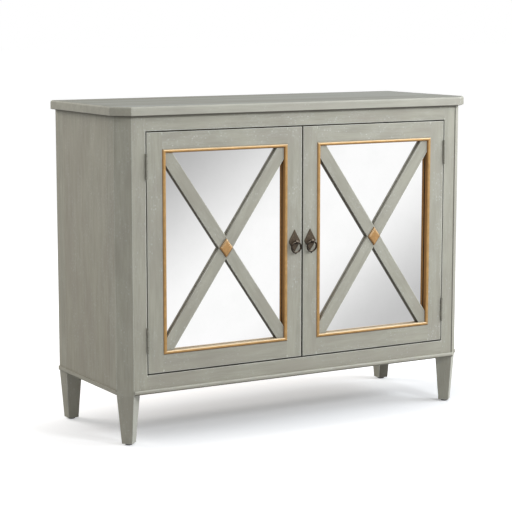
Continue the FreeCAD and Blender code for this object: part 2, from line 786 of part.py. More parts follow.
def door_stile(label, x, inner_x, way):
    """A stile with mortises for the rails and a stopped rabbet for the mirror, way pointing into the wood."""
    body = named("PartDesign::Body", label)
    box_in(body, x, ("front_y", "door_back_y"), STILE_Z)
    for rail_z in (DOOR_TOP_RAIL_Z, DOOR_BOTTOM_RAIL_Z):
        cut_mortise(body, inner_x, DOOR_TENON_Y, rail_z, way)
    far = f"{inner_x} + ({way}) * door_rabbet"
    cut_box(body, (inner_x, far) if way > 0 else (far, inner_x), RABBET_Y, STILE_RABBET_Z)
    for z in CLIP_ZS:
        cut_bore(body, (f"{inner_x} + ({way}) * (door_rabbet + clip_length / 4)", "door_back_y", z),
                 (0, -1, 0), "clip_peg_diameter / 2 + screw_clearance", "clip_peg_length + screw_end_gap")
    return body


def hinge_stile():
    body = door_stile("left_door_hinge_stile", ("door_hinge_x", "panel_left"), "panel_left", -1)
    for span in HINGE_SPANS:
        cut_box(body, ("door_hinge_x", "door_hinge_x + leaf_thickness"),
                ("front_y", "front_y + leaf_depth"), span)
    for z in HINGE_SCREW_ZS:
        cut_screw_hole(body, ("door_hinge_x", HINGE_SCREW_Y, z), (1, 0, 0),
                       "hinge_screw_length + screw_end_gap")
    return body


def lock_stile():
    body = door_stile("left_door_lock_stile", ("panel_right", "door_lock_x"), "panel_right", 1)
    cut_bore(body, ("pull_x", "front_y", "pull_height"), (0, 1, 0),
             "post_shank_diameter / 2 + screw_clearance",
             "post_shank_length - plate_thickness + screw_end_gap")
    return body


def door_rail(label, z, rabbet_z):
    body = tenoned_rail(label, ("panel_left", "panel_right"), ("front_y", "door_back_y"), z, DOOR_TENON_Y)
    cut_box(body, ("panel_left", "panel_right"), RABBET_Y, rabbet_z)
    return body


def door_top_rail():
    body = door_rail("left_door_top_rail", DOOR_TOP_RAIL_Z, ("panel_top", "panel_top + door_rabbet"))
    cut_bore(body, ("-catch_offset", "door_back_y", "strike_z"), (0, -1, 0),
             "strike_peg_diameter / 2 + screw_clearance", "strike_peg_length + screw_end_gap")
    return body


def gilt_bead():
    """Four half-round sticks, mitred round the mirror."""
    inner_left, inner_right = "panel_left + gilt_width", "panel_right - gilt_width"
    inner_bottom, inner_top = "panel_bottom + gilt_width", "panel_top - gilt_width"
    outer_corners = [("panel_left", "panel_bottom"), ("panel_right", "panel_bottom"),
                     ("panel_right", "panel_top"), ("panel_left", "panel_top")]
    inner_corners = [(inner_left, inner_bottom), (inner_right, inner_bottom),
                     (inner_right, inner_top), (inner_left, inner_top)]
    level = value("front_y - gilt_rise")
    sticks = []
    for index, word in enumerate(("bottom", "lock", "top", "hinge")):
        following = (index + 1) % len(outer_corners)
        body = named("PartDesign::Body", f"left_gilt_{word}_stick")
        upright_pad(body, [outer_corners[index], outer_corners[following],
                           inner_corners[following], inner_corners[index]],
                    ("front_y - gilt_rise", "mirror_y"))

        def along_front(box):
            return flat_at(box.YMin, box.YMax, level) and min(box.XLength, box.ZLength) < 1e-6

        round_edges(body, "gilt_rounding", along_front)
        sticks.append(body)
    return group("left_door_gilt_bead", sticks)


def pane(label, y):
    """A sheet that fills the rabbets behind the gilt bead."""
    margin = "door_rabbet - mirror_clearance"
    return block(label, (f"panel_left - ({margin})", f"panel_right + {margin}"), y,
                 (f"panel_bottom - ({margin})", f"panel_top + {margin}"))


def lattice_bar(label, slope, notch_y):
    """A bar from corner to corner, its ends cut to the corners and half of it cut away at the crossing.

    It climbs to the right where slope is 1 and to the left where slope is -1."""
    body = named("PartDesign::Body", label)
    corner = [("lattice_half_width", "lattice_half_height"),
              ("lattice_half_width - lattice_cut_x", "lattice_half_height"),
              ("-lattice_half_width", "lattice_cut_z - lattice_half_height"),
              ("-lattice_half_width", "-lattice_half_height"),
              ("lattice_cut_x - lattice_half_width", "-lattice_half_height"),
              ("lattice_half_width", "lattice_half_height - lattice_cut_z")]
    upright_pad(body, [(f"sight_x + ({slope}) * ({x})", f"sight_z + {z}") for x, z in corner],
                ("lattice_y", "mirror_y"))
    crossing = [("sight_x - lattice_cut_x", "sight_z"), ("sight_x", "sight_z - lattice_cut_z"),
                ("sight_x + lattice_cut_x", "sight_z"), ("sight_x", "sight_z + lattice_cut_z")]
    pocket = body.newObject("PartDesign::Pocket", "half_lap")
    pocket.Profile = upright_outline(body, crossing, notch_y[0])
    bind(pocket, Length=f"({notch_y[1]}) - ({notch_y[0]})")
    return body


def diamond(width, height):
    return [(f"sight_x - {width} / 2", "sight_z"), ("sight_x", f"sight_z - {height} / 2"),
            (f"sight_x + {width} / 2", "sight_z"), ("sight_x", f"sight_z + {height} / 2")]


def diamond_boss():
    """A diamond on the crossing of the lattice, with four narrow bevels up to a flat face."""
    body = named("PartDesign::Body", "left_door_diamond")
    foot = diamond("diamond_width", "diamond_height")
    upright_pad(body, foot, ("lattice_y - diamond_edge", "lattice_y"))
    loft(body, upright_outline(body, foot, "lattice_y - diamond_edge"),
         upright_outline(body, diamond("diamond_face_width", "diamond_face_height"),
                         "lattice_y - diamond_edge - diamond_rise"))
    return body


def board_clips():
    """Spring clips on the back of the stiles, each with a peg in the wood, holding the back board."""
    clips = []
    for word, inner_x, way in (("hinge", "panel_left", -1), ("lock", "panel_right", 1)):
        middle = f"{inner_x} + ({way}) * door_rabbet"
        for number, z in enumerate(CLIP_ZS):
            face = block(f"left_{word}_clip_face_{number}",
                         (f"{middle} - clip_length / 2", f"{middle} + clip_length / 2"),
                         ("door_back_y", "door_back_y + clip_thickness"),
                         (f"{z} - clip_width / 2", f"{z} + clip_width / 2"))
            peg = rod(f"left_{word}_clip_peg_{number}",
                      (f"{middle} + ({way}) * clip_length / 4", "door_back_y", z),
                      (0, -1, 0), "clip_peg_diameter / 2", "clip_peg_length")
            clips.append(fused(f"left_{word}_clip_{number}", [face, peg]))
    return group("left_door_board_clips", clips)


# Left ring pull

def pull_plate():
    body = named("PartDesign::Body", "left_pull_plate")
    shoulder = "plate_top - plate_shoulder"
    upright_pad(body, [("pull_x", "plate_top - plate_height"), ("pull_x + plate_width / 2", shoulder),
                       ("pull_x", "plate_top"), ("pull_x - plate_width / 2", shoulder)],
                ("plate_y", "front_y"))
    shoulder_z = value(shoulder)
    round_edges(body, "plate_corner_radius",
                lambda box: flat_at(box.ZMin, box.ZMax, shoulder_z) and box.XLength < 1e-6)
    front = value("plate_y")
    dress(body, "Chamfer", "Size", "plate_chamfer", lambda box: flat_at(box.YMin, box.YMax, front))
    cut_bore(body, ("pull_x", "plate_y", "pull_height"), (0, 1, 0),
             "post_shank_diameter / 2 + plate_hole_gap", "plate_thickness")
    return body


def pull_post():
    """A post with a rounded eye at its end, bored across for the ring, and a shank through the plate."""
    body = named("PartDesign::Body", "left_pull_post")
    rod_in(body, ("pull_x - eye_width / 2", "eye_y", "pull_height"), (1, 0, 0), "eye_diameter / 2",
           "eye_width")
    eye_cheeks = [value("pull_x - eye_width / 2"), value("pull_x + eye_width / 2")]
    round_edges(body, "eye_rounding",
                lambda box: any(flat_at(box.XMin, box.XMax, cheek) for cheek in eye_cheeks))
    rod_in(body, ("pull_x", "plate_y", "pull_height"), (0, -1, 0), "post_diameter / 2", "eye_standoff")
    rod_in(body, ("pull_x", "plate_y", "pull_height"), (0, 1, 0), "post_shank_diameter / 2",
           "post_shank_length")
    cut_bore(body, ("pull_x - eye_diameter", "eye_y", "pull_height"), (1, 0, 0), "eye_hole_radius",
             "2 * eye_diameter")
    return body


def lean(piece, at, angle):
    """Tips a piece's own Z from upright to the back by an angle in degrees, and binds its position."""
    piece.Placement = FreeCAD.Placement(Vector(), FreeCAD.Rotation(Vector(-1, 0, 0), value(angle)))
    bind(piece, Placement__Base__x=at[0], Placement__Base__y=at[1], Placement__Base__z=at[2],
         Placement__Rotation__Angle=angle)


def pull_ring():
    """A round wire ring that hangs in the eye, leaning a little to the door, with a small pointed drop."""
    wire = named("Part::Torus", "left_ring_wire")
    bind(wire, Radius1="ring_radius", Radius2="ring_wire / 2")
    lean(wire, ("pull_x", "ring_middle_y", "ring_middle_z"), "90 - ring_lean")
    drop = named("Part::Cone", "left_ring_drop")
    bind(drop, Radius1="nub_diameter / 2", Radius2="nub_tip_radius", Height="nub_length")
    lean(drop, ("pull_x", "ring_foot_y", "ring_foot_z"), "180 - ring_lean")
    return fused("left_pull_ring", [wire, drop])


def build():
    """Makes every piece and gives them by the name of their node."""
    fill_sheet()
    bead_back = ("half_width - corner_cant", "front_y - bead_reach")
    frame_leaf_x = ("-opening_half - leaf_thickness", "-opening_half")
    door_leaf_x = ("door_hinge_x", "door_hinge_x + leaf_thickness")
    pieces = [
        top_panel(),
        tenoned_rail("front_top_rail", ("-opening_half", "opening_half"), ("front_y", "frame_back_y"),
                     TOP_RAIL_Z, FRAME_TENON_Y),
        tenoned_rail("front_bottom_rail", ("-opening_half", "opening_half"), ("front_y", "frame_back_y"),
                     BOTTOM_RAIL_Z, FRAME_TENON_Y),
        base_bead("front_base_bead", (f"-({bead_back[0]})", bead_back[0]), (bead_back[1], "front_y"),
                  (f"-({bead_back[0]})", bead_back[0]), "front", "bead_rounding"),
        bottom_panel(),
        back_panel(),
        rear_rail("rear_top_rail", REAR_TOP_RAIL_Z, BACK_SCREW_ZS[0]),
        rear_rail("rear_bottom_rail", REAR_BOTTOM_RAIL_Z, BACK_SCREW_ZS[1]),
        shelf(),
        shelf_pins(),
        floor_glides(),
        top_screws(),
        back_screws(),
        top_cleats(),
        hinge_pins(),
        both_sides("hinge_frame_leaves",
                   leaf_pair("left_frame_leaves", frame_leaf_x, "-opening_half", -1, (0, 2, 4))),
        both_sides("frame_hinge_screws", hinge_screws("left_frame_screws", "-opening_half", -1)),
        magnet_catches(),
    ]
    paired = [
        side_panel(),
        front_post(),
        rear_post(),
        base_bead("left_base_bead", ("-half_width - side_bead_reach", "-half_width"),
                  ("front_leg_y", "back_y"), ("front_leg_y", "back_y"), "side", "side_bead_rounding"),
        hinge_stile(),
        lock_stile(),
        door_top_rail(),
        door_rail("left_door_bottom_rail", DOOR_BOTTOM_RAIL_Z,
                  ("panel_bottom - door_rabbet", "panel_bottom")),
        gilt_bead(),
        pane("left_door_mirror", ("mirror_y", "mirror_back_y")),
        pane("left_door_back_board", ("mirror_back_y", "door_back_y")),
        lattice_bar("left_door_rising_bar", 1, ("lattice_middle_y", "mirror_y")),
        lattice_bar("left_door_falling_bar", -1, ("lattice_y", "lattice_middle_y")),
        diamond_boss(),
        leaf_pair("left_door_hinge_leaves", door_leaf_x, "door_hinge_x", 1, (1, 3)),
        hinge_screws("left_door_hinge_screws", "door_hinge_x", 1),
        board_clips(),
        strike_plate(),
        pull_plate(),
        pull_post(),
        pull_ring(),
    ]
    pieces += paired
    pieces += [mirrored(piece.Label.replace("left_", "right_", 1), piece) for piece in paired]
    doc.recompute()
    return pieces


def check(pieces):
    broken = [item.Label for item in doc.Objects if {"Invalid", "Error"} & set(item.State)]
    broken += [piece.Label for piece in pieces if piece.Shape.isNull() or not piece.Shape.isValid()]
    if broken:
        raise RuntimeError("these objects failed: " + ", ".join(broken))


def export(pieces):
    os.makedirs("parts", exist_ok=True)
    for piece in pieces:
        piece.Shape.exportStep(f"parts/{piece.Label}.step")
        print(piece.Label, len(piece.Shape.Solids), round(piece.Shape.Volume))


all_pieces = build()
check(all_pieces)
export(all_pieces)
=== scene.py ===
import math

import bpy
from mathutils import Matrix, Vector


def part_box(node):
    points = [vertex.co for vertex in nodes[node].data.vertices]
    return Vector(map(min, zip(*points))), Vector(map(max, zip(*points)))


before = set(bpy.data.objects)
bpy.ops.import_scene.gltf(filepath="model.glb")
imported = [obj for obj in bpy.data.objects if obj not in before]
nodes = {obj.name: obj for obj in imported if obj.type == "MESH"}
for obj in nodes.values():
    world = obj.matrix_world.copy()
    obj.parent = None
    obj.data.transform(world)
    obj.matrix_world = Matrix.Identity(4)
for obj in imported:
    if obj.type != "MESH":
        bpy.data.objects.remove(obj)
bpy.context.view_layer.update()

# A painted cabinet with mirrored doors, in metres: X to the right, Y to the back and Z up.

MM = 0.001


# Places on the cabinet

door_foot, door_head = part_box("left_door_hinge_stile")
post_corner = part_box("left_front_post")[0]
diamond_low, diamond_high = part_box("left_door_diamond")
bar_low, bar_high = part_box("left_door_rising_bar")

MIRROR_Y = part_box("left_door_mirror")[0].y
DOOR_INNER_X = -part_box("left_door_lock_stile")[1].x
DOOR_OUTER_X = -door_foot.x
DOOR_X = (DOOR_OUTER_X + DOOR_INNER_X) / 2
DOOR_HALF_X = (DOOR_OUTER_X - DOOR_INNER_X) / 2
DOOR_Z = (door_head.z + door_foot.z) / 2
DOOR_HALF_Z = (door_head.z - door_foot.z) / 2
CANT_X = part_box("front_base_bead")[1].x
CANT_Y = post_corner.y - post_corner.x - CANT_X
LEG_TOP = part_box("front_bottom_rail")[0].z
SLAB_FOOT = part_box("top_panel")[0].z
CROSSING_X = -(diamond_low.x + diamond_high.x) / 2
CROSSING_Z = (diamond_low.z + diamond_high.z) / 2
BAR_SLOPE = math.atan2(bar_high.x - bar_low.x, bar_high.z - bar_low.z)

# The turn that brings Z onto the grain of a piece.
UPRIGHT = (0.0, 0.0, 0.0)
CROSSWISE = (0.0, math.radians(90), 0.0)
DEEPWISE = (math.radians(-90), 0.0, 0.0)
CLIMBING_RIGHT = (0.0, BAR_SLOPE, 0.0)
CLIMBING_LEFT = (0.0, -BAR_SLOPE, 0.0)


# Shader graphs. A span says where a ramp starts and ends, and a ramp also how strong it is at both places.

BOARD_SHIFT = 7.0
RAY_SAMPLES = 8
NOISE_SPAN = (0.3, 0.7)
FLECK_RAMP = (0.15, 0.42, 1, 0)
FLECK_FADE = 0.6
OPENNESS_SPAN = (0.5, 0.92)


class Graph:
    """Adds nodes to a material or a world and joins them; end names the node that they feed."""

    def __init__(self, owner, end):
        owner.use_nodes = True
        self.owner = owner
        self.tree = owner.node_tree
        self.end = self.tree.nodes[end]

    def feed(self, socket, source):
        if isinstance(source, bpy.types.NodeSocket):
            self.tree.links.new(source, socket)
        else:
            socket.default_value = source

    def add(self, kind, inputs, output, **settings):
        """Adds a node, sets its properties, feeds its inputs and gives one of its outputs."""
        node = self.tree.nodes.new("ShaderNode" + kind)
        for name, setting in settings.items():
            setattr(node, name, setting)
        for name, source in inputs.items():
            self.feed(node.inputs[name], source)
        return node.outputs[output]

    def set(self, **inputs):
        """Feeds the sockets of the end node; an underscore stands for a space."""
        for name, source in inputs.items():
            self.feed(self.end.inputs[name.replace("_", " ")], source)

    def math(self, operation, first, second=0.0):
        return self.add("Math", {0: first, 1: second}, 0, operation=operation)

    def vector(self, operation, first, second, output="Vector"):
        return self.add("VectorMath", {0: first, 1: second}, output, operation=operation)

    def times(self, first, second):
        return self.math("MULTIPLY", first, second)

    def larger(self, first, second):
        return self.math("MAXIMUM", first, second)

    def smaller(self, first, second):
        return self.math("MINIMUM", first, second)

    def unsigned(self, value):
        return self.math("ABSOLUTE", value)

    def off(self, value, middle):
        """How far the value lies from the middle, on either side of it."""
        return self.unsigned(self.math("SUBTRACT", value, middle))

    def ramp(self, value, low, high, bottom=0.0, top=1.0):
        """Goes from bottom to top as the value goes from low to high."""
        return self.add("MapRange", {"Value": value, "From Min": low, "From Max": high, "To Min": bottom,
                                     "To Max": top}, "Result", interpolation_type="SMOOTHSTEP")

    def mix(self, amount, first, second):
        """A colour between two colours."""
        return self.add("Mix", {"Factor": amount, "A": first, "B": second}, "Result", data_type="RGBA")

    def blend(self, amount, first, second):
        """A number between two numbers."""
        return self.add("Mix", {"Factor": amount, "A": first, "B": second}, "Result")

    def place(self, output="Object"):
        return self.add("TexCoord", {}, output)

    def board_place(self):
        """The piece's own coordinates, shifted by a different amount on each piece."""
        luck = self.add("ObjectInfo", {}, "Random")
        return self.vector("ADD", self.place(), self.times(luck, BOARD_SHIFT))

    def share(self, vector, axis):
        """The part of a vector that lies along X, Y or Z."""
        return self.add("SeparateXYZ", {"Vector": vector}, axis)

    def coordinate(self, axis):
        return self.share(self.place(), axis)

    def facing(self, axis):
        """The part of the piece's normal that lies along X, Y or Z."""
        return self.share(self.place("Normal"), axis)

    def along(self, place, grain, stretch):
        """Coordinates drawn out along the grain."""
        return self.add("Mapping", {"Vector": place, "Rotation": grain, "Scale": (1, 1, stretch)}, "Vector",
                        vector_type="TEXTURE")

    def noise(self, place, size, detail=2.0, roughness=0.5):
        """A cloudy texture whose spots are about as large as size, in metres."""
        return self.add("TexNoise", {"Vector": place, "Scale": 1 / size, "Detail": detail,
                                     "Roughness": roughness}, "Fac")

    def streaks(self, place, grain, size, stretch, detail=2.0, roughness=0.5):
        """A cloudy texture drawn out along the grain."""
        return self.noise(self.along(place, grain, stretch), size, detail, roughness)

    def flecks(self, place, size, share):
        """Small soft spots about as large as size, in a random share of the places that could hold one."""
        cells = {"Vector": place, "Scale": 1 / (2 * size)}
        spot = self.ramp(self.add("TexVoronoi", cells, "Distance"), *FLECK_RAMP)
        luck = self.add("SeparateColor", {"Color": self.add("TexVoronoi", cells, "Color")}, "Red")
        return self.times(spot, self.ramp(luck, 1 - share, 1 - FLECK_FADE * share))

    def bump(self, height, depth, strength, normal=None):
        """The normal of a relief that is as deep as depth, in metres."""
        inputs = {"Height": height, "Distance": depth, "Strength": strength}
        if normal is not None:
            inputs["Normal"] = normal
        return self.add("Bump", inputs, "Normal")

    def in_corner(self, reach, most):
        """Goes from 0 in the open to most deep in a corner or a gap that is narrower than reach."""
        openness = self.add("AmbientOcclusion", {"Distance": reach}, "AO", samples=RAY_SAMPLES)
        return self.ramp(openness, *OPENNESS_SPAN, most, 0)

    def soft_normal(self, reach):
        """The normal of edges that are softened over the reach."""
        return self.add("Bevel", {"Radius": reach}, "Normal", samples=RAY_SAMPLES)

    def turn_away(self, soft):
        """How far a softened normal turns away from the flat face, which shows where the arrises are."""
        flat = self.add("NewGeometry", {}, "True Normal")
        return self.math("SUBTRACT", 1.0, self.vector("DOT_PRODUCT", soft, flat, "Value"))


def new_material(name):
    return Graph(bpy.data.materials.new(name), "Principled BSDF")


def colour(red, green, blue):
    """A colour of linear light, with full alpha."""
    return (red, green, blue, 1.0)


def scaled(tone, amount):
    return colour(*[amount * part for part in tone])


# Where wear, painted shade and painted highlights lie. The lengths are measured from the edge that a mark
# follows.

MIRROR_SHARE = 0.4
GAP_RAMP = (5 * MM, 8 * MM, 1, 0)
CORNER_SPAN = (4 * MM, 6 * MM)
CROSSING_SPAN = (30 * MM, 42 * MM)
SLAB_SHADE_SPAN = (-9 * MM, 1 * MM)
SLAB_SHADE = 0.75
LEG_SPAN = (-4 * MM, -1 * MM)
HEAD_SPAN = (-3 * MM, -1 * MM)
HEAD_FACE_RAMP = (0.5, 0.8, 0, 0.5)
INNER_EDGE_RAMP = (1 * MM, 3 * MM, 1, 0)
INNER_FACE_SPAN = (-0.8, -0.5)
INNER_EDGE_LEVELS = (0.9, 0.25)
CORNER_LINE_SPAN = (-4.6 * MM, -3 * MM)
CORNER_LINE = 0.8
FRONT_FACE_RAMP = (-0.95, -0.8, 1, 0)


def near_mirror(g, reach):
    """Goes from 0 to 1 in the last stretch before the mirror's face, which is as long as the reach."""
    return g.ramp(g.coordinate("Y"), MIRROR_Y - reach, MIRROR_Y - MIRROR_SHARE * reach)


def on_leg(g, most=1.0):
    start, end = LEG_SPAN
    return g.ramp(g.coordinate("Z"), LEG_TOP + start, LEG_TOP + end, most, 0)


def open_edge(g):
    """1 beside the doors' gaps, at the canted corners and on the legs, 0 where pieces join flush."""
    near, far = CORNER_SPAN
    sideways = g.unsigned(g.coordinate("X"))
    past_side = g.math("SUBTRACT", g.off(sideways, DOOR_X), DOOR_HALF_X)
    past_end = g.math("SUBTRACT", g.off(g.coordinate("Z"), DOOR_Z), DOOR_HALF_Z)
    beside_gap = g.ramp(g.unsigned(g.larger(past_side, past_end)), *GAP_RAMP)
    on_corner = g.times(g.ramp(sideways, CANT_X - far, CANT_X - near),
                        g.ramp(g.coordinate("Y"), CANT_Y + near, CANT_Y + far, 1, 0))
    return g.larger(g.larger(beside_gap, on_corner), on_leg(g))


def off_crossing(g):
    """0 where the lattice bars cross and lie flush, 1 on the rest of them."""
    past_x = g.off(g.unsigned(g.coordinate("X")), CROSSING_X)
    past_z = g.off(g.coordinate("Z"), CROSSING_Z)
    return g.ramp(g.math("ADD", past_x, past_z), *CROSSING_SPAN)


def below_slab(g):
    """Rises in the last millimetres under the top."""
    start, end = SLAB_SHADE_SPAN
    return g.ramp(g.coordinate("Z"), SLAB_FOOT + start, SLAB_FOOT + end, 0, SLAB_SHADE)


def meeting_edge(g):
    """On the doors' upper edges and on the edges where the two doors meet, there stronger lower down."""
    start, end = HEAD_SPAN
    height = g.coordinate("Z")
    on_head = g.times(g.ramp(height, door_head.z + start, door_head.z + end),
                      g.ramp(g.facing("Z"), *HEAD_FACE_RAMP))
    inward = g.math("SUBTRACT", g.unsigned(g.coordinate("X")), DOOR_INNER_X)
    on_side = g.times(g.ramp(inward, *INNER_EDGE_RAMP), g.ramp(g.facing("Y"), *INNER_FACE_SPAN))
    on_side = g.times(on_side, g.ramp(height, door_foot.z, door_head.z, *INNER_EDGE_LEVELS))
    return g.larger(on_head, on_side)


def corner_line(g):
    """A thin line down the front, along the right canted corner."""
    start, end = CORNER_LINE_SPAN
    return g.times(g.ramp(g.coordinate("X"), CANT_X + start, CANT_X + end, 0, CORNER_LINE),
                   g.ramp(g.facing("Y"), *FRONT_FACE_RAMP))


# Paint

GREY = (0.342, 0.335, 0.280)
# Paler than GREY: with its stronger painted shade towards the floor, the side is lighter at the top and
# darker at the foot.
SIDE_GREY = (0.362, 0.352, 0.294)
INNER_GREY = (0.31, 0.305, 0.265)
SCUFF = colour(0.56, 0.57, 0.54)
# Pale paint, both for rubbed wear and for painted highlights.
WEAR_AND_HIGHLIGHT = colour(0.64, 0.65, 0.59)
# Dark paint used as painted shade: under things, in corners and gaps, and on shaded faces.
PAINTED_SHADE = colour(0.05, 0.044, 0.03)
# Painted shade that darkens the paint towards the floor.
FOOT_SHADE_TONE = colour(0.2, 0.18, 0.13)
# Painted shade on the bars' sides and where they meet the mirror.
BAR_SIDE_SHADE = colour(0.13, 0.1, 0.05)
BAR_CONTACT_SHADE = colour(0.012, 0.01, 0.007)
# A painted cool sheen on the top, and the cool tone of its long pale strokes.
TOP_SHEEN = colour(0.3, 0.315, 0.295)
TOP_STROKE = colour(0.425, 0.446, 0.437)

# The size of each texture's spots, their stretch along the grain, and their detail and roughness.
BRISTLES = (4.2 * MM, 16, 4, 0.7)
DABS = (2.6 * MM, 3, 3, 0.6)
STROKES = (14 * MM, 8, 3, 0.6)
CLOUDS = (80 * MM, 2)
DRY_PATCHES = (28 * MM, 2.6, 3)
TOP_STROKES = (40 * MM, 25, 3, 0.7)

STROKE_SHADES = (0.91, 1.08)
BRISTLE_RAMP = (0.36, 0.7, 0, 0.45)
BRISTLE_SHADE = 1.17
CLOUD_RAMP = (0.4, 0.66, 0, 0.5)
CLOUD_HUE = (1.0, 0.965, 0.985)
CLOUD_SHADE = 0.9


def brushed(g, here, grain, tone, strokes, bristles):
    """Paint of one tone with brush streaks and cloudy patches."""
    dark, pale = [scaled(tone, shade) for shade in STROKE_SHADES]
    clouds = g.streaks(here, grain, *CLOUDS)
    cloud_tone = [part * hue for part, hue in zip(tone, CLOUD_HUE)]
    base = g.mix(g.ramp(strokes, *NOISE_SPAN), dark, pale)
    base = g.mix(g.ramp(bristles, *BRISTLE_RAMP), base, scaled(tone, BRISTLE_SHADE))
    return g.mix(g.ramp(clouds, *CLOUD_RAMP), base, scaled(cloud_tone, CLOUD_SHADE))


FLECK_SIZE = 2.4 * MM
FLECK_SHARE = 0.45
FLECK_STRETCH = 1.5
HAZE_RAMP = (0.46, 0.78, 0.08, 0.45)
DRY_SPAN = (0.4, 0.64)
DRY_MOST = 0.75


def scuffed(g, here, grain, base, dabs, scuffing):
    """Pale flecks and a faint haze, in dry patches."""
    dry = g.streaks(here, grain, *DRY_PATCHES)
    flecks = g.flecks(g.along(here, grain, FLECK_STRETCH), FLECK_SIZE, FLECK_SHARE)
    marks = g.larger(flecks, g.ramp(dabs, *HAZE_RAMP))
    return g.mix(g.times(g.ramp(dry, *DRY_SPAN, 0, DRY_MOST * scuffing), marks), base, SCUFF)


UPPER_FACE_SPAN = (0.9, 0.99)
SHEEN = 0.6
PALE_STROKE_RAMP = (0.45, 0.62, 0, 0.6)
DARK_STROKE_RAMP = (0.32, 0.48, 0.5, 0)
DARK_STROKE_SHADE = 0.74
SLAB_EDGE_RAMP = (0.6, 0.95, 1, 0)
OFF_CANT_RAMP = (0.4, 0.6, 0.14, 0)


def slab_sheen_and_highlight(g, here, grain, tone, base):
    """A painted cool sheen with long strokes on top, and a painted highlight on all edges but canted ones.
    """
    upward = g.facing("Z")
    on_top = g.ramp(upward, *UPPER_FACE_SPAN)
    strokes = g.streaks(here, grain, *TOP_STROKES)
    slant = g.smaller(g.unsigned(g.facing("X")), g.unsigned(g.facing("Y")))
    edge = g.times(g.ramp(upward, *SLAB_EDGE_RAMP), g.ramp(slant, *OFF_CANT_RAMP))
    base = g.mix(g.times(on_top, SHEEN), base, TOP_SHEEN)
    base = g.mix(g.times(on_top, g.ramp(strokes, *PALE_STROKE_RAMP)), base, TOP_STROKE)
    base = g.mix(g.times(on_top, g.ramp(strokes, *DARK_STROKE_RAMP)), base, scaled(tone, DARK_STROKE_SHADE))
    return g.mix(edge, base, WEAR_AND_HIGHLIGHT)


ROUNDING_SPAN = (0.3, 0.6)
ROUNDING_END_RAMP = (0.88, 0.99, 1, 0)
ROUNDING_RUB_RAMP = (0.3, 0.6, 0.2, 0.5)


def rounding_wear_and_highlight(g, base, bristles):
    """Rubbed paint with a painted highlight where an edge rounds over to the top."""
    upward = g.facing("Z")
    rounding = g.times(g.ramp(upward, *ROUNDING_SPAN), g.ramp(upward, *ROUNDING_END_RAMP))
    return g.mix(g.times(rounding, g.ramp(bristles, *ROUNDING_RUB_RAMP)), base, WEAR_AND_HIGHLIGHT)


BAR_SIDE_RAMP = (-0.7, -0.3, 0, 0.15)
BAR_CONTACT_REACH = 1.7 * MM


def bar_shade(g, base):
    """Painted shade on the sides, darkest where they meet the mirror."""
    base = g.mix(g.ramp(g.facing("Y"), *BAR_SIDE_RAMP), base, BAR_SIDE_SHADE)
    return g.mix(near_mirror(g, BAR_CONTACT_REACH), base, BAR_CONTACT_SHADE)


BEAD_CORNER = 3.5 * MM
BEAD_SHADE = 0.5


def door_shade(g, base):
    """Painted shade in the corners round the gilt bead and in the gaps over and between the doors."""
    base = g.mix(g.in_corner(BEAD_CORNER, BEAD_SHADE), base, PAINTED_SHADE)
    return g.mix(meeting_edge(g), base, PAINTED_SHADE)


RIGHT_FACE_SPAN = (0.3, 0.6)
SILL_RAMP = (0.5, 0.8, 0, 0.7)
LEG_SHADE = 0.06
LEG_HIGHLIGHT = 0.4


def frame_shade_and_highlight(g, base):
    """A dark line along the right corner, painted shade on the sill and on the legs, and a painted highlight
    on the legs' right faces.
    """
    on_right = g.ramp(g.facing("X"), *RIGHT_FACE_SPAN)
    base = g.mix(corner_line(g), base, PAINTED_SHADE)
    base = g.mix(g.ramp(g.facing("Z"), *SILL_RAMP), base, PAINTED_SHADE)
    base = g.mix(g.times(on_leg(g, LEG_SHADE), g.ramp(on_right, 0, 1, 1, 0)), base, PAINTED_SHADE)
    return g.mix(g.times(on_leg(g, LEG_HIGHLIGHT), on_right), base, WEAR_AND_HIGHLIGHT)


PAINT_ARRIS = 3.2 * MM
ARRIS_RAMP = (0.006, 0.07, 0, 0.85)
ARRIS_STROKE_RAMP = (0.25, 0.6, 0.5, 1.0)
UNDERSIDE_RAMP = (-0.6, -0.05, 0.75, 0)
PAINT_ROUGHNESS = (0.7, 0.55)
BRISTLE_RELIEF = 0.5


